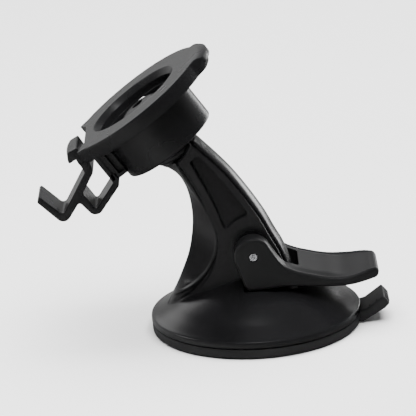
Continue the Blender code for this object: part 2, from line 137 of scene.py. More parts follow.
# Head: local X runs up the ring face, local Z is its normal, the origin is the ball's centre
HEAD_TILT = radians(34.5)
FACE_CENTRE = (-39.3, 87.2)
FACE_H = 15.5
FLANGE_R = 28.4
FLANGE_LOW = 10.2
HOUSING_R = 18.0
HOUSING_BOTTOM = -5.9
BORE_R = 15.6
MOUTH_R = 17.86
LUG_REACH = 3.4
ARM_TOP = -10.9  # lowest height of the arm's hollow end, which curves up towards the spine
TILT_LIMIT = radians(14)
END_CLEAR = -6.6  # highest the arm's end may reach on the ball's axis, under the housing
BALL_R = 8.5
SPIGOT_R = 3.9
SOCKET_R = 10.2
ROOT_BLOCK = ((-23.4, -7.5, -3.0), (-16.6, 7.5, 10.8))
ROOT_CHANNELS = [(-21.8, -21.1, 0.5, -2.6), (-19.6, -17.2, 2.0, -1.6)]  # low and high X, depth, low Z
WINDOW = ((-1.9, -25.0, 9.1), (0.8, 25.0, 10.5))
NOTCH = [(-24.8, 16.6, 0.5), (-21.8, 10.2, 0.8), (-21.8, -10.2, 0.8), (-24.8, -16.6, 0.5)]

# Release clip: half widths of the moulding and its hook, and how far the hook's outer face bows
CLIP_HALF = 7.5
HOOK_HALF = 8.5
HOOK_BOW = 0.7


# ---- curves and meshes ----

def smooth_curve(points, steps):
    """A Catmull-Rom curve through the points, with this many steps in each span."""
    ends = np.array([points[0], *points, points[-1]], float)
    ends[0] = 2 * ends[1] - ends[2]
    ends[-1] = 2 * ends[-2] - ends[-3]
    curve = []
    for i in range(1, len(ends) - 2):
        a, b, c, d = ends[i - 1:i + 3]
        for t in np.arange(steps) / steps:
            curve.append(0.5 * (2 * b + (c - a) * t + (2 * a - 5 * b + 4 * c - d) * t * t
                                + (3 * b - a - 3 * c + d) * t ** 3))
    return np.array(curve + [ends[-2]])


def rounded(corners, step=0.25):
    """A closed outline from (x, y, radius) corners, each corner turned into an arc."""
    outline = []
    count = len(corners)
    for i, (x, y, radius) in enumerate(corners):
        here = Vector((x, y))
        before = (Vector(corners[i - 1][:2]) - here).normalized()
        after = (Vector(corners[(i + 1) % count][:2]) - here).normalized()
        half = before.angle(after) / 2
        if radius < 1e-6 or half > pi / 2 - 0.02:
            outline.append((x, y))
            continue
        reach = radius / tan(half)
        centre = here + (before + after).normalized() * (radius / sin(half))
        start, end = here + before * reach - centre, here + after * reach - centre
        turn = atan2(start.x * end.y - start.y * end.x, start.dot(end))
        steps = max(3, int(abs(turn) * radius / step))
        for k in range(steps + 1):
            angle = turn * k / steps
            outline.append((centre.x + start.x * cos(angle) - start.y * sin(angle),
                            centre.y + start.x * sin(angle) + start.y * cos(angle)))
    return outline


def resampled(outline, spacing):
    """The closed outline with long straight runs divided."""
    points = []
    for a, b in zip(outline, outline[1:] + outline[:1]):
        steps = max(1, round(hypot(b[0] - a[0], b[1] - a[1]) / spacing))
        points += [(a[0] + (b[0] - a[0]) * k / steps, a[1] + (b[1] - a[1]) * k / steps) for k in range(steps)]
    return points


def inset(outline, distance):
    """The outline moved inwards along its own normals."""
    points = np.array(outline, float)
    area = np.sum(points[:, 0] * np.roll(points[:, 1], -1) - points[:, 1] * np.roll(points[:, 0], -1))
    along = np.roll(points, -1, 0) - np.roll(points, 1, 0)
    along /= np.linalg.norm(along, axis=1)[:, None] + 1e-12
    inward = np.stack([-along[:, 1], along[:, 0]], 1) * (1 if area > 0 else -1)
    return points + inward * distance


def signed_distance(points, line):
    """Distance to an open line, positive on its left-hand side as it runs."""
    a, b = line[:-1], line[1:]
    span = b - a
    offset = points[:, None, :] - a[None]
    share = np.clip((offset * span).sum(2) / (span ** 2).sum(1), 0, 1)
    gap = offset - share[..., None] * span
    reach = np.linalg.norm(gap, axis=2)
    nearest = reach.argmin(1)
    rows = np.arange(len(points))
    near_span, near_gap = span[nearest], gap[rows, nearest]
    side = near_span[:, 0] * near_gap[:, 1] - near_span[:, 1] * near_gap[:, 0]
    return reach[rows, nearest] * np.where(side >= 0, 1.0, -1.0)


def inside_distance(points, outline):
    """Distance to a closed outline, positive inside it."""
    closed = np.vstack([outline, outline[:1]])
    a, b = closed[:-1], closed[1:]
    span = b - a
    offset = points[:, None, :] - a[None]
    share = np.clip((offset * span).sum(2) / ((span ** 2).sum(1) + 1e-12), 0, 1)
    reach = np.linalg.norm(offset - share[..., None] * span, axis=2).min(1)
    crosses = (a[None, :, 1] > points[:, 1:2]) != (b[None, :, 1] > points[:, 1:2])
    at = a[None, :, 0] + (points[:, 1:2] - a[None, :, 1]) * span[None, :, 0] / (span[None, :, 1] + 1e-12)
    inside = (crosses & (points[:, 0:1] < at)).sum(1) % 2 == 1
    return np.where(inside, reach, -reach)


def step_up(value, low, high):
    t = np.clip((value - low) / (high - low), 0, 1)
    return t * t * (3 - 2 * t)


def bump_at(value, centre, width):
    return np.exp(-((value - centre) / width) ** 2)


def round_over(distance, radius):
    """How far a rounded edge falls in, at this distance from the end face."""
    left = np.clip(radius - distance, 0, radius)
    return radius - np.sqrt(np.maximum(radius ** 2 - left ** 2, 0))


def solid(name, points, faces, place=None, sharp=None):
    """A mesh object from points in millimetres, with its faces turned outwards."""
    mesh = bpy.data.meshes.new(name)
    mesh.from_pydata([tuple(float(c) * MM for c in p) for p in points], [], faces)
    body = bmesh.new()
    body.from_mesh(mesh)
    bmesh.ops.remove_doubles(body, verts=body.verts, dist=1e-7)
    bmesh.ops.dissolve_degenerate(body, edges=body.edges, dist=1e-7)
    bmesh.ops.recalc_face_normals(body, faces=body.faces)
    if place is not None:
        bmesh.ops.transform(body, matrix=place, verts=body.verts)
    body.to_mesh(mesh)
    body.free()
    mesh.shade_smooth()
    if sharp:
        mesh.set_sharp_from_angle(angle=radians(sharp))
    obj = bpy.data.objects.new(name, mesh)
    bpy.context.collection.objects.link(obj)
    return obj


def grid_faces(rows, columns, wrap_rows=False, wrap_columns=False):
    faces = []
    for i in range(rows if wrap_rows else rows - 1):
        for j in range(columns if wrap_columns else columns - 1):
            k, m = (i + 1) % rows, (j + 1) % columns
            faces.append((i * columns + j, i * columns + m, k * columns + m, k * columns + j))
    return faces


def lathe(name, outline, steps=160, place=None, shape=None, sharp=None, turns=None):
    """A closed (radius, height) outline turned about local Z; shape may move each point."""
    if turns is None:
        turns = np.arange(steps) * 2 * pi / steps
    radius, height = np.array(outline, float).T
    r, t = np.meshgrid(radius, turns)
    z = np.broadcast_to(height, r.shape).copy()
    if shape:
        r, z = shape(r, t, z)
    points = np.stack([r * np.cos(t), r * np.sin(t), z], 2).reshape(-1, 3)
    return solid(name, points, grid_faces(len(turns), len(outline), True, True), place, sharp)


def rounded_prism(name, outline, half, edge, place=None, widths=None, steps=4, spans=1):
    """An XZ outline extruded along Y from -half to half, with rounded edges."""
    count = len(outline)
    stations = [(-half + edge * (1 - cos(pi / 2 * k / steps)), edge * (1 - sin(pi / 2 * k / steps)))
                for k in range(steps + 1)]
    stations += [(-half + edge + (2 * half - 2 * edge) * k / spans, 0.0) for k in range(1, spans)]
    stations += [(-y, depth) for y, depth in reversed(stations[:steps + 1])]
    points = []
    for y, depth in stations:
        ring = inset(outline, depth)
        share = np.ones(count) if widths is None else widths(ring)
        points += [(x, y * s, z) for (x, z), s in zip(ring, share)]
    faces = grid_faces(len(stations), count, False, True)
    faces.append(tuple(range(count)))
    faces.append(tuple((len(stations) - 1) * count + k for k in range(count)))
    return solid(name, points, faces, place)


def combine(target, tool, operation):
    """Adds or cuts the tool for good, and removes it."""
    change = target.modifiers.new("combine", "BOOLEAN")
    change.operation = operation
    change.object = tool
    bpy.context.view_layer.update()
    mesh = bpy.data.meshes.new_from_object(target.evaluated_get(bpy.context.evaluated_depsgraph_get()))
    target.modifiers.clear()
    old = target.data
    target.data = mesh
    mesh.name = target.name
    bpy.data.meshes.remove(old)
    bpy.data.objects.remove(tool)
    return target


def smooth_shading(obj, angle):
    obj.data.shade_smooth()
    obj.data.set_sharp_from_angle(angle=radians(angle))


def head_place():
    place = Matrix.Rotation(-HEAD_TILT, 4, "Y")
    normal = Vector((-sin(HEAD_TILT), 0, cos(HEAD_TILT)))
    centre = Vector((FACE_CENTRE[0], 0, FACE_CENTRE[1])) - FACE_H * normal
    place.translation = centre * MM
    return place


def in_head(x, z):
    """A world (x, z) point of the mid-plane in the head's local frame."""
    point = head_place().inverted() @ Vector((x * MM, 0, z * MM))
    return point.x / MM, point.z / MM


# ---- suction base ----

def dome_height(radius):
    curve = smooth_curve(DOME_CURVE, 6)[::-1]
    return np.interp(radius, curve[:, 0], curve[:, 1])


def dome_solid():
    """The skirt and dome, solid, with rolled rims on the skirt."""
    skirt = [(0, SKIRT_FOOT), (SKIRT_R - 0.3, SKIRT_FOOT), (SKIRT_R - 0.08, SKIRT_FOOT + 0.08),
             (SKIRT_R, SKIRT_FOOT + 0.3), (SKIRT_R, SKIRT_TOP - 0.55), (SKIRT_R - 0.05, SKIRT_TOP - 0.3),
             (SKIRT_R - 0.2, SKIRT_TOP - 0.06), (SKIRT_R - 0.45, SKIRT_TOP + 0.16)]
    outline = skirt + [tuple(p) for p in smooth_curve(DOME_CURVE, 6)]
    return lathe("base_moulding", outline, 200)


def arm_half_width(points, keel, spine, top_gap):
    """Half the arm's width at points of its side plane, with its rib, panel, border and fillets."""
    front_edge, side_edge = smooth_curve(FRONT_EDGE, 6), smooth_curve(SIDE_EDGE, 6)
    from_keel = np.abs(signed_distance(points, keel))
    from_spine = np.abs(signed_distance(points, spine))
    past_front = signed_distance(points, front_edge)
    past_side = signed_distance(points, side_edge)
    share = from_keel / (from_keel + np.maximum(-past_front, 0) + 1e-9)
    nose = 0.03
    low_front = FRONT_HALF - 1.3 * step_up(27.0 - points[:, 1], 0, 9.0)
    wedge = low_front * np.sqrt(share ** 2 + 2 * share * nose) / sqrt(1 + 2 * nose)
    half = wedge + (ARM_HALF - wedge) * step_up(past_front, -0.35, 0.15)
    half = np.minimum(half, ARM_HALF * np.sqrt(1 - (1 - np.clip(from_keel / TOE_ROUND, 0, 1)) ** 2))
    half += (SIDE_HALF - ARM_HALF) * step_up(past_side, -0.2, 0.6)
    valley = np.minimum(past_front, -past_side)
    half -= VALLEY[0] * step_up(valley, 0.15, 1.2) + VALLEY[1] * step_up(valley, 1.2, 3.0)
    panel = inside_distance(points, smooth_curve(PANEL + PANEL[:1], 4)[:-1])
    half -= (PANEL_DEPTH + PANEL_SLOPE * (points[:, 1] - 40.0)) * step_up(panel, 0.0, 0.55)
    half += BEAD * bump_at(panel, -0.45, 0.32)
    crest = CREST_HALF * np.sqrt(1 - (1 - np.clip(from_spine / CREST_DEPTH, 0, 1)) ** 2)
    border = CREST_HALF + (SIDE_HALF - CREST_HALF) * step_up(from_spine, CREST_DEPTH + 0.2, CREST_DEPTH + 0.8)
    half = np.minimum(half, np.where(from_spine < CREST_DEPTH, crest, border))
    half -= CREST_GROOVE * bump_at(from_spine, CREST_DEPTH + 0.1, 0.2)
    half -= round_over(top_gap, END_ROUND)
    reach = np.hypot(points[:, 0], half)
    above = (points[:, 1] - dome_height(reach)) * 0.93
    foot = round_over(np.clip(above, 0, FOOT_FILLET), FOOT_FILLET)
    half += np.where(from_spine > 0.4, foot, 0) * step_up(from_keel, 0, 2)
    return np.maximum(half, 0)


def end_height(x):
    """Local height of the arm's end: hollowed for the ball, and clear of the housing at full tilt."""
    hollow = ARM_TOP + (x + 3.0) ** 2 / 34.0
    clear = END_CLEAR - tan(TILT_LIMIT) * np.maximum(x, 0.0)
    return np.minimum(hollow, clear)


def arm_end():
    """Everything past the arm's hollow end."""
    x = np.linspace(-15.0, 15.0, 40)
    outline = list(zip(x, end_height(x))) + [(15.0, 2.0), (-15.0, 2.0)]
    return rounded_prism("arm_end", outline, 12.0, 0.01, head_place(), steps=1)


def arm_solid(rows=330, columns=200):
    """The arm's form, run on past its end face, which arm_end cuts."""
    keel, spine = smooth_curve(ARM_KEEL, 12), smooth_curve(ARM_SPINE, 12)
    u = np.linspace(0, 1, rows)
    at = np.linspace(0, 1, len(keel))
    along_keel = np.stack([np.interp(u, at, keel[:, k]) for k in (0, 1)], 1)
    along_spine = np.stack([np.interp(u, at, spine[:, k]) for k in (0, 1)], 1)
    t = np.linspace(0, 1, columns)
    share = t - 0.09 * np.sin(2 * pi * t)
    plain = along_keel[:, None] + (along_spine - along_keel)[:, None] * share[None, :, None]
    flat = plain.reshape(-1, 2)
    local = np.array([in_head(x, z) for x, z in flat])
    top_gap = end_height(local[:, 0]) - local[:, 1]
    width = np.linalg.norm(along_spine - along_keel, axis=1)
    squeeze = (round_over(np.maximum(top_gap, 0), END_ROUND).reshape(rows, columns) / width[:, None])
    share = squeeze + share[None] * (1 - 2 * squeeze)
    side = (along_keel[:, None] + (along_spine - along_keel)[:, None] * share[..., None]).reshape(-1, 2)
    half = arm_half_width(side, along_keel, along_spine, np.maximum(top_gap, 0)).reshape(rows, columns)
    half[:, 0] = 0
    half[:, -1] = 0
    half = half.reshape(-1)
    near = np.stack([side[:, 0], -half, side[:, 1]], 1)
    far = np.stack([side[:, 0], half, side[:, 1]], 1)
    count = rows * columns
    faces = grid_faces(rows, columns)
    faces += [tuple(k + count for k in face) for face in faces]
    for row in (0, rows - 1):
        for j in range(columns - 1):
            k = row * columns + j
            faces.append((k, k + 1, k + 1 + count, k + count))
    return solid("arm_form", np.vstack([near, far]), faces)


def cam_flat(side):
    """The cut that makes the flat under one cam, on the near (-1) or far (1) side."""
    start, end, half = CAM_FLAT
    outline = rounded([(start, -half, 1.2), (end, -half, 1.2), (end, half, 1.2), (start, half, 1.2)])
    y, z = CAM_FLAT_CENTRE
    place = Matrix.Translation((0, side * y * MM, z * MM))
    return rounded_prism("cam_flat", outline, CAM_FLAT_HALF, 0.01, place, steps=1)


def make_base():
    base = dome_solid()
    combine(base, combine(arm_solid(), arm_end(), "DIFFERENCE"), "UNION")
    combine(base, lathe("cavity", CAVITY, 96), "DIFFERENCE")
    combine(base, lathe("stem_bore", STEM_BORE, 48), "DIFFERENCE")
    half, low, end_r = PIN_SLOT
    high = PIN_Z + half
    slot = rounded([(-half, high, end_r), (half, high, end_r), (half, low, end_r), (-half, low, end_r)])
    combine(base, rounded_prism("pin_slot", slot, 10.0, 0.01, steps=1), "DIFFERENCE")
    for side in (-1, 1):
        combine(base, cam_flat(side), "DIFFERENCE")
    spigot = [(0, ARM_TOP - 6.3), (SPIGOT_R, ARM_TOP - 6.3), (SPIGOT_R, ARM_TOP + 1), (0, ARM_TOP + 1)]
    combine(base, lathe("spigot_hole", spigot, 32, head_place()), "DIFFERENCE")
    smooth_shading(base, 38)
    return base


def tab_rod(radius, low, high, centre):
    """A fine rib across the pull tab's end."""
    turn = Matrix.Translation((centre[0] * MM, 0, centre[1] * MM)) @ Matrix.Rotation(radians(90), 4, "X")
    outline = [(0, low), (radius * 0.7, low), (radius, low + 0.15),
               (radius, high - 0.15), (radius * 0.7, high), (0, high)]
    return lathe("tab_rib", outline, 20, turn)


def tab_dimple(x, y, z, radius):
    """A small ball set in the tab's top face, for a dimple or a grip dot."""
    angles = np.linspace(-pi / 2, pi / 2, 9)
    return lathe("tab_dot", [(radius * cos(a), radius * sin(a)) for a in angles], 20,
                 Matrix.Translation((x * MM, y * MM, z * MM)))


def make_cup():
    """The rubber rim with its rolled edges and the lip that seals."""
    outline = rounded([(HUB_R + 17.0, 0.0, 0), (37.0, 0.0, 0.3), (CUP_R, 0.8, 0.8), (CUP_R, 3.8, 0.35),
                       (34.6, 3.8, 0.2), (33.2, 2.9, 0.2), (31.0, 2.6, 0)])
    cup = lathe("suction_cup_rim", outline, 200)
    side = rounded([(32.0, 0.7, 0), (38.4, 0.5, 0.6), (46.6, 5.2, 1.0), (48.4, 7.0, 0.7), (46.1, 9.8, 0.7),
                    (39.9, 5.4, 2.0), (36.0, 4.4, 0), (32.0, 3.0, 0)], 0.15)
    tab = rounded_prism("tab_form", resampled(side, 0.6), TAB_HALF, 0.7, spans=10)
    clear = [(0, 3.9), (SKIRT_R + 0.12, 3.9), (SKIRT_R + 0.12, 8.0), (0, 8.0)]
    combine(tab, lathe("skirt_clearance", clear, 200), "DIFFERENCE")
    for share in TAB_RIBS:
        centre = (46.6 + 1.7 * share, 9.05 - 2.0 * share)
        combine(tab, tab_rod(TAB_RIB_R, -TAB_RIB_HALF, TAB_RIB_HALF, centre), "UNION")
    for x, z in TAB_HOLES:
        combine(tab, tab_dimple(x, -TAB_RIB_HALF, z, TAB_HOLE_R), "DIFFERENCE")
    combine(tab, tab_dimple(44.3, 0.2, 8.0, 0.5), "UNION")
    combine(cup, tab, "UNION")
    smooth_shading(cup, 40)
    return cup


def make_membrane():
    """The cup's thin centre under the pull rod; it stays where it is drawn."""
    under = [(31.1, 0.0), (27.0, 0.12), (20.0, 0.55), (HUB_R, 0.86), (8.0, HUB_Z), (0.0, HUB_Z)]
    curve = smooth_curve(under, 6)
    outline = [tuple(p) for p in curve] + [(0.0, 2.9), (31.1, 2.6)]
    return lathe("suction_cup_centre", outline, 120, sharp=40)


# ---- lever ----

def lever_outline():
    cheek = [(CHEEK_R * cos(radians(a)), PIN_Z + CHEEK_R * sin(radians(a))) for a in np.linspace(196, 36, 40)]
    top = [tuple(p) for p in smooth_curve(LEVER_TOP, 9)]
    tip = rounded([(*LEVER_TOP[-1], 0), *LEVER_TIP, (*LEVER_FLOOR[0], 0)])[1:-1]
    floor = [tuple(p) for p in smooth_curve(LEVER_FLOOR, 8)]
    heel = [tuple(p) for p in smooth_curve([LEVER_FLOOR[-1], *LEVER_HEEL], 5)[1:]]
    return resampled(cheek + top + tip + floor + heel, 0.7)


def make_lever(columns=96):
    """A side outline swept across the lever's width, with rolled edges and a crowned thumb deck."""
    outline = lever_outline()
    v = np.linspace(-1, 1, columns)
    v = np.sign(v) * (1 - (1 - np.abs(v)) ** 1.35)
    points = []
    for share in v:
        y = share * LEVER_HALF
        gap = LEVER_HALF - abs(y)
        ring = inset(outline, float(round_over(gap, LEVER_EDGE)))
        x, z = ring.T
        narrow = 1 - TIP_NARROWING * np.clip((x - 31.5) / 13.3, 0, 1) ** 1.7
        above = step_up(z - (19.2 + 0.05 * (x - 20)), 0, 0.8)
        deck = above * step_up(x, 11.0, 14.0) * step_up(43.2 - x, 0, 1.6)
        z = z - deck * (0.30 * step_up(gap, 1.5, 2.3) - 0.10 * bump_at(gap, 1.35, 0.35))
        z = z + deck * 0.9 * step_up(gap, 1.5, 6.0) * step_up(34.0 - x, 0, 8.0)
        points.append(np.stack([x, y * narrow, z], 1))
    count = len(outline)
    faces = grid_faces(columns, count, False, True)
    faces.append(tuple(range(count)))
    faces.append(tuple((columns - 1) * count + k for k in range(count)))
    lever = solid("lever_moulding", np.vstack(points), faces)
    plan = rounded([(-20.0, -SLOT_HALF, 0), (SLOT_END, -SLOT_HALF, 1.3), (SLOT_END, SLOT_HALF, 1.3),
                    (-20.0, SLOT_HALF, 0)])
    turn = Matrix.Translation((0, 0, PIN_Z * MM)) @ Matrix.Rotation(radians(90), 4, "X")
    combine(lever, rounded_prism("arm_slot", plan, 22.0, 0.01, turn, steps=1), "DIFFERENCE")
    eye = [(0, -20), (EYE_R, -20), (EYE_R, 20), (0, 20)]
    combine(lever, lathe("lever_eye", eye, 40, turn), "DIFFERENCE")
    smooth_shading(lever, 40)
    return lever


def make_pin():
    """A drawn steel pin with rolled rims and dimpled ends."""
    end = LEVER_HALF - 0.1
    half = [(0, end - 0.75), (0.45, end - 0.7), (0.8, end - 0.4), (0.95, end - 0.05), (1.1, end),
            (1.3, end - 0.03), (1.45, end - 0.2), (1.5, end - 0.45)]
    outline = [(r, -z) for r, z in half] + [(r, z) for r, z in reversed(half)]
    turn = Matrix.Translation((0, 0, PIN_Z * MM)) @ Matrix.Rotation(radians(90), 4, "X")
    return lathe("hinge_pin", outline, 48, turn)


# ---- head ----

def flange_radius(turns):
    """The flange's outer radius at each angle: a circle with a notched lower end."""
    arc = [(FLANGE_R * cos(a), FLANGE_R * sin(a), 0) for a in np.linspace(-2.42, 2.42, 120)]
    plan = np.array(resampled(rounded(arc + NOTCH), 0.2))
    angle, reach = np.arctan2(plan[:, 1], plan[:, 0]), np.hypot(plan[:, 0], plan[:, 1])
    return np.interp(turns, angle, reach, period=2 * pi)


def ring_turns():
    """Angles round the ring, closer together at the notch's corners."""
    close = [atan2(y, x) + radians(step) for x, y, _ in NOTCH for step in np.arange(-3.0, 3.01, 0.25)]
    turns = np.sort(np.mod(np.concatenate([np.linspace(0, 2 * pi, 360, False), close]), 2 * pi))
    return turns[np.diff(turns, append=turns[0] + 2 * pi) > radians(0.08)]


def ring_outline():
    """Half section of the ring: face, rim, flange, housing, lip, bore and mouth chamfer."""
    return rounded([
        (MOUTH_R, FACE_H, 0.22), (FLANGE_R, FACE_H, 0.32), (FLANGE_R - 0.1, FLANGE_LOW, 0.3),
        (HOUSING_R, FLANGE_LOW, 0.7), (HOUSING_R - 0.05, HOUSING_BOTTOM, 0.7), (10.2, HOUSING_BOTTOM, 0.4),
        (10.2, HOUSING_BOTTOM + 1.8, 0.2), (BORE_R, HOUSING_BOTTOM + 1.8, 0.3), (BORE_R, 10.9, 0.08),
        (BORE_R + 0.45, 10.9, 0.08), (16.2, 13.4, 0.2)], 0.2)


def ring_shape(r, t, z):
    """Draws the flange's rim to its real plan, with the fixed lug at its upper end."""
    rim = flange_radius(t[:, 0])[:, None]
    past = np.clip((r - MOUTH_R - 1.5) / (FLANGE_R - MOUTH_R - 1.5), 0, 1)
    r = r + past * (rim - FLANGE_R)
    across = np.abs(r * np.sin(t))
    lug = step_up(13.0 - across, 0, 5.0) * (np.cos(t) > 0)
    deep = 0.55 + 0.45 * step_up(z, 10.6, 12.9)
    scoop = bump_at(across, 9.4, 0.9) * bump_at(z, 12.4, 0.9) * (np.cos(t) > 0) * 0.5
    outer = step_up(past, 0.72, 1.0)
    r = r + outer * (LUG_REACH * lug * deep - scoop)
    z = z + lug * 0.35 * step_up(r, 25.5, 28.5) * (z > 13) - lug * 1.5 * step_up(r, 29.2, 31.9) * (z > 13)
    return r, z


def ring_block(low, high, edge=0.4):
    """A rounded block in the head's frame between two corners."""
    side = rounded([(low[0], low[2], edge), (high[0], low[2], edge),
                    (high[0], high[2], 0), (low[0], high[2], 0)])
    half = (high[1] - low[1]) / 2
    middle = Matrix.Translation((0, (high[1] + low[1]) / 2 * MM, 0))
    return rounded_prism("block_form", resampled(side, 0.8), half, edge, head_place() @ middle, steps=3)


def make_ring():
    ring = lathe("ring_moulding", resampled(ring_outline(), 0.9), place=head_place(), shape=ring_shape,
                 turns=ring_turns())
    combine(ring, ring_block(*ROOT_BLOCK), "UNION")
    for side in (-1, 1):
        for low_x, high_x, depth, low_z in ROOT_CHANNELS:
            low_y, high_y = sorted((side * (CLIP_HALF - depth), side * 9.0))
            channel = ring_block((low_x, low_y, low_z), (high_x, high_y, 9.8), 0.12)
            combine(ring, channel, "DIFFERENCE")
    combine(ring, ring_block(*WINDOW, 0.15), "DIFFERENCE")
    low, radius = HOUSING_BOTTOM + 1.9, BORE_R - 0.02
    bore = [(0, low), (radius, low), (radius, 9.0), (0, 9.0)]
    combine(ring, lathe("bore_clear", bore, 120, head_place()), "DIFFERENCE")
    smooth_shading(ring, 36)
    return ring


def make_socket():
    """The domed socket that grips the ball, with a central boss."""
    low, high = -1.6, 9.2
    start = atan2(low, sqrt(SOCKET_R ** 2 - low ** 2))
    end = atan2(high, sqrt(SOCKET_R ** 2 - high ** 2))
    bowl = [(SOCKET_R * cos(a), SOCKET_R * sin(a)) for a in np.linspace(start, end, 14)]
    crown = smooth_curve([(2.2, 12.9), (6.0, 12.4), (9.6, 10.4), (11.8, 7.0), (12.5, 3.2)], 6)
    outline = bowl + [(3.6, 10.3), (2.2, 10.7)] + [tuple(p) for p in crown]
    outline += [(12.5, 0.9), (12.9, 0.4), (15.1, 0.4), (15.3, 0.2), (15.3, -1.6)]
    return lathe("socket_moulding", outline, 120, head_place(), sharp=40)


def make_ball_stud():
    """The fixed ball, its neck and the foot that is seated in the arm's hollow end."""
    neck = asin(-sqrt(BALL_R ** 2 - 25.0) / BALL_R)
    ball = [(BALL_R * cos(a), BALL_R * sin(a)) for a in np.linspace(pi / 2, neck, 24)]
    foot = rounded([(5.0, -7.2, 0.3), (7.4, -7.4, 0.9), (7.8, -9.5, 0.8), (5.0, -11.4, 0), (3.5, -11.4, 0),
                    (3.5, -16.5, 0), (0, -16.5, 0)])
    return lathe("ball_stud_moulding", ball + foot, 96, head_place(), sharp=50)


# ---- release clip ----

def clip_outline():
    """The whole spring moulding from the side: finger tab, stem, loop and the arm to its root."""
    return rounded([
        (-75.65, 52.85, 0.7), (-66.3, 43.7, 2.8), (-60.7, 52.1, 0.9), (-54.85, 45.5, 2.9), (-46.1, 57.3, 1.3),
        (-45.8, 60.8, 0), (-47.0, 62.6, 0), (-49.5, 61.9, 0), (-48.15, 58.5, 0.4), (-54.9, 48.9, 0.8),
        (-59.2, 55.3, 0.5), (-54.9, 62.9, 1.4), (-56.0, 66.6, 0.8), (-59.2, 70.2, 0),
        (-61.3, 69.3, 0), (-57.9, 63.0, 0.9), (-66.8, 47.6, 1.5), (-75.1, 55.4, 0.7)], 0.2)


def hook_outline():
    """The hook at the top of the stem, which catches the navigator."""
    return rounded([(-60.2, 72.6, 0.7), (-64.2, 70.9, 1.6), (-64.0, 66.5, 0.6), (-60.8, 68.3, 0.4),
                    (-59.6, 66.2, 0.3), (-57.0, 67.3, 0.3)], 0.15)


def hook_widths(ring):
    """The hook's width narrows a little towards its outer face."""
    return 1.0 - 0.06 * np.clip((-60.0 - ring[:, 0]) / 4.0, 0, 1)


def make_clip():
    side = resampled(clip_outline(), 0.5)
    clip = rounded_prism("release_clip_moulding", side, CLIP_HALF, 0.35, steps=3, spans=14)
    catch = resampled(hook_outline(), 0.4)
    hook = rounded_prism("hook_form", catch, HOOK_HALF, 0.45, widths=hook_widths, steps=3, spans=16)
    for point in hook.data.vertices:
        outer = min(max((-60.0 - point.co.x / MM) / 3.5, 0), 1)
        point.co.x += HOOK_BOW * MM * outer * (point.co.y / MM / HOOK_HALF) ** 2
    combine(clip, hook, "UNION")
    smooth_shading(clip, 40)
    return clip


# ---- materials ----

def principled(name):
    made = bpy.data.materials.new(name)
    made.use_nodes = True
    nodes = made.node_tree.nodes
    return made, nodes, made.node_tree.links, nodes["Principled BSDF"]


def noise(nodes, links, scale, detail, coordinates):
    texture = nodes.new("ShaderNodeTexNoise")
    texture.inputs["Scale"].default_value = scale
    texture.inputs["Detail"].default_value = detail
    links.new(coordinates.outputs["Object"], texture.inputs["Vector"])
    return texture


def ramp(nodes, links, source, low, high):
    """Colour between two greys or colours, by a noise."""
    made = nodes.new("ShaderNodeValToRGB")
    made.color_ramp.elements[0].position = 0.35
    made.color_ramp.elements[1].position = 0.65
    made.color_ramp.elements[0].color = (*low, 1)
    made.color_ramp.elements[1].color = (*high, 1)
    links.new(source.outputs["Fac"], made.inputs["Fac"])
    return made


def moulded(name, colour, roughness, spread, grain, grain_height, specular):
    """Moulded plastic or rubber: fine spark grain, soft flow marks and slightly uneven gloss."""
    made, nodes, links, shader = principled(name)
    place = nodes.new("ShaderNodeTexCoord")
    flow = noise(nodes, links, 55.0, 4.0, place)
    fine = noise(nodes, links, grain, 3.0, place)
    tint = ramp(nodes, links, flow, [c * 0.86 for c in colour], [c * 1.14 for c in colour])
    links.new(tint.outputs["Color"], shader.inputs["Base Color"])
    gloss = nodes.new("ShaderNodeMapRange")
    gloss.inputs["To Min"].default_value = roughness - spread
    gloss.inputs["To Max"].default_value = roughness + spread
    links.new(flow.outputs["Fac"], gloss.inputs["Value"])
    links.new(gloss.outputs["Result"], shader.inputs["Roughness"])
    relief = nodes.new("ShaderNodeBump")
    relief.inputs["Strength"].default_value = 1.0
    relief.inputs["Distance"].default_value = grain_height
    links.new(fine.outputs["Fac"], relief.inputs["Height"])
    links.new(relief.outputs["Normal"], shader.inputs["Normal"])
    shader.inputs["Specular IOR Level"].default_value = specular
    return made


def metal(name, colour, roughness, scale):
    made, nodes, links, shader = principled(name)
    place = nodes.new("ShaderNodeTexCoord")
    drawn = noise(nodes, links, scale, 5.0, place)
    tint = ramp(nodes, links, drawn, [c * 0.9 for c in colour], colour)
    links.new(tint.outputs["Color"], shader.inputs["Base Color"])
    gloss = nodes.new("ShaderNodeMapRange")
    gloss.inputs["To Min"].default_value = roughness * 0.75
    gloss.inputs["To Max"].default_value = roughness * 1.25
    links.new(drawn.outputs["Fac"], gloss.inputs["Value"])
    links.new(gloss.outputs["Result"], shader.inputs["Roughness"])
    shader.inputs["Metallic"].default_value = 0.75
    return made


def dress(obj, skin):
    obj.data.materials.clear()
    obj.data.materials.append(skin)


def dress_cad(node, skin):
    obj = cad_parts[node]
    if not obj.material_slots:
        obj.data.materials.append(skin)
    for place in obj.material_slots:
        place.material = skin


# ---- stage ----

def camera_axes():
    a, e = radians(CAMERA_AZIMUTH), radians(CAMERA_ELEVATION)
    back = Vector((sin(a) * cos(e), -cos(a) * cos(e), sin(e)))
    right = Vector((cos(a), sin(a), 0))
    up = back.cross(right)
    return right, up, back


def make_camera():
    right, up, back = camera_axes()
    turn = Matrix.Rotation(radians(CAMERA_ROLL), 3, back)
    right, up = turn @ right, turn @ up
    lens = bpy.data.cameras.new("camera")
    lens.sensor_width = SENSOR_MM
    lens.lens = SENSOR_MM * CAMERA_DISTANCE / CAMERA_WIDTH
    lens.clip_start = 0.01
    lens.clip_end = 20
    camera = bpy.data.objects.new("camera", lens)
    placed = Matrix((right, up, back)).transposed().to_4x4()
    placed.translation = Vector(CAMERA_TARGET) + back * CAMERA_DISTANCE
    camera.matrix_world = placed
    bpy.context.collection.objects.link(camera)
    bpy.context.scene.camera = camera


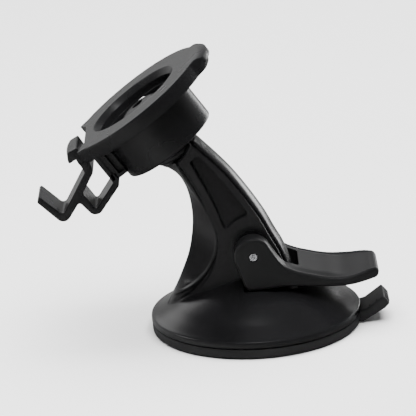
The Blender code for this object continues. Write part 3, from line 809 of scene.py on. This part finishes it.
def soft_light(name, azimuth, elevation, distance, size, power, reflected=True):
    """An area light that faces the mount; azimuth 0 is the camera's side."""
    target = Vector((-0.01, 0, 0.04))
    a, e = radians(azimuth), radians(elevation)
    back = Vector((sin(a) * cos(e), -cos(a) * cos(e), sin(e)))
    data = bpy.data.lights.new(name, "AREA")
    data.shape = "RECTANGLE"
    data.size, data.size_y = size
    data.energy = power
    light = bpy.data.objects.new(name, data)
    facing = back.to_track_quat("Z", "Y").to_matrix().to_4x4()
    light.matrix_world = Matrix.Translation(target + back * distance) @ facing
    light.visible_glossy = reflected
    bpy.context.collection.objects.link(light)


def make_floor():
    """A white sheet; the world, not the sheet, is what the gloss reflects."""
    size = 6.0
    mesh = bpy.data.meshes.new("floor")
    corners = [(-size, -size, 0), (size, -size, 0), (size, size, 0), (-size, size, 0)]
    mesh.from_pydata(corners, [], [(0, 1, 2, 3)])
    floor = bpy.data.objects.new("floor", mesh)
    bpy.context.collection.objects.link(floor)
    floor.location.z = -0.00005
    made, _, _, shader = principled("floor_paint")
    shader.inputs["Base Color"].default_value = (0.9, 0.9, 0.9, 1)
    shader.inputs["Roughness"].default_value = 0.9
    mesh.materials.append(made)
    floor.visible_glossy = False


def sky_ramp(nodes, links, source, stops):
    """Grey levels by the sine of the elevation."""
    height = map_range(nodes, links, source, (-1.0, 1.0), (0.0, 1.0))
    shade = nodes.new("ShaderNodeValToRGB")
    elements = shade.color_ramp.elements
    for index, (sine, value) in enumerate(stops):
        stop = elements[index] if index < 2 else elements.new(0.5)
        stop.position = (sine + 1) / 2
        stop.color = (value, value, value, 1)
    links.new(height.outputs["Result"], shade.inputs["Fac"])
    return shade


def map_range(nodes, links, source, low_high, to):
    made = nodes.new("ShaderNodeMapRange")
    made.inputs["From Min"].default_value, made.inputs["From Max"].default_value = low_high
    made.inputs["To Min"].default_value, made.inputs["To Max"].default_value = to
    links.new(source, made.inputs["Value"])
    return made


def make_world():
    """A studio that is bright behind the mount, dim before it and darker overhead."""
    world = bpy.data.worlds.new("studio")
    bpy.context.scene.world = world
    world.use_nodes = True
    nodes, links = world.node_tree.nodes, world.node_tree.links
    place = nodes.new("ShaderNodeTexCoord")
    split = nodes.new("ShaderNodeSeparateXYZ")
    links.new(place.outputs["Generated"], split.inputs["Vector"])
    front = sky_ramp(nodes, links, split.outputs["Z"], FRONT_SKY)
    back = sky_ramp(nodes, links, split.outputs["Z"], BACK_SKY)
    behind = map_range(nodes, links, split.outputs["Y"], (-0.15, 0.35), (0.0, 1.0))
    whole = nodes.new("ShaderNodeMix")
    whole.data_type = "RGBA"
    links.new(behind.outputs["Result"], whole.inputs["Factor"])
    links.new(front.outputs["Color"], whole.inputs[6])
    links.new(back.outputs["Color"], whole.inputs[7])
    side = map_range(nodes, links, split.outputs["X"], (-0.8, 0.4), (1.7, 0.75))
    links.new(whole.outputs[2], nodes["Background"].inputs["Color"])
    links.new(side.outputs["Result"], nodes["Background"].inputs["Strength"])


def make_stage():
    make_floor()
    make_world()
    soft_light("back_left_softbox", -152, 29, 0.9, (0.4, 0.3), 0.5)
    soft_light("back_right_softbox", 150, 29, 0.9, (0.4, 0.3), 0.5)
    soft_light("spine_softbox", 138, 4, 0.9, (0.55, 0.16), 1.7)
    soft_light("left_softbox", -95, 33, 0.9, (0.25, 0.25), 0.75)
    soft_light("overhead_softbox", 0, 80, 0.9, (0.16, 0.16), 0.5)
    soft_light("floor_wash", 0, 88, 1.4, (1.6, 1.6), 100.0, reflected=False)
    make_camera()


# ---- assembly ----

def main():
    make_stage()
    head_plastic = moulded("head_plastic", (0.0052, 0.0052, 0.0056), 0.27, 0.04, 5200.0, 0.000008, 0.5)
    body_plastic = moulded("satin_black_plastic", (0.0048, 0.0048, 0.0052), 0.25, 0.04, 5200.0, 0.000007, 0.5)
    lever_plastic = moulded("lever_plastic", (0.0062, 0.0062, 0.0066), 0.40, 0.05, 3800.0, 0.000016, 0.5)
    rubber = moulded("black_rubber", (0.012, 0.012, 0.0125), 0.60, 0.06, 2600.0, 0.000012, 0.35)
    nylon = moulded("natural_nylon", (0.55, 0.54, 0.50), 0.45, 0.06, 2400.0, 0.000010, 0.5)
    steel = metal("zinc_steel", (0.62, 0.62, 0.64), 0.26, 900.0)
    wire = metal("spring_steel", (0.42, 0.42, 0.44), 0.32, 1500.0)

    pieces = [
        (make_base(), body_plastic, "base", "base_housing", "satin_black_plastic"),
        (make_cup(), rubber, "base", "suction_cup", "black_rubber"),
        (make_lever(), lever_plastic, "lever", "lever", "lever_plastic"),
        (make_pin(), steel, "pull_rod", "lever_pin", "zinc_steel"),
        (make_ring(), head_plastic, "head", "mount_ring", "head_plastic"),
        (make_socket(), body_plastic, "head", "ball_socket", "satin_black_plastic"),
        (make_ball_stud(), body_plastic, "base", "ball_stud", "satin_black_plastic"),
    ]
    for piece, skin, body, node, slot in pieces:
        dress(piece, skin)
        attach(piece, body)
        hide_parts(node)

    clip = make_clip()
    dress(clip, head_plastic)
    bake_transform(clip)
    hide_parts("release_clip")

    membrane = make_membrane()
    dress(membrane, rubber)
    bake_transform(membrane)
    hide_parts("cup_centre")

    for node, skin in [("guide_bush", nylon), ("pull_stem", nylon), ("socket_liner", nylon),
                       ("friction_ring", rubber), ("retaining_ring", body_plastic), ("cup_anchor", steel),
                       ("spring_washer", steel), ("return_spring", wire)]:
        dress_cad(node, skin)


main()
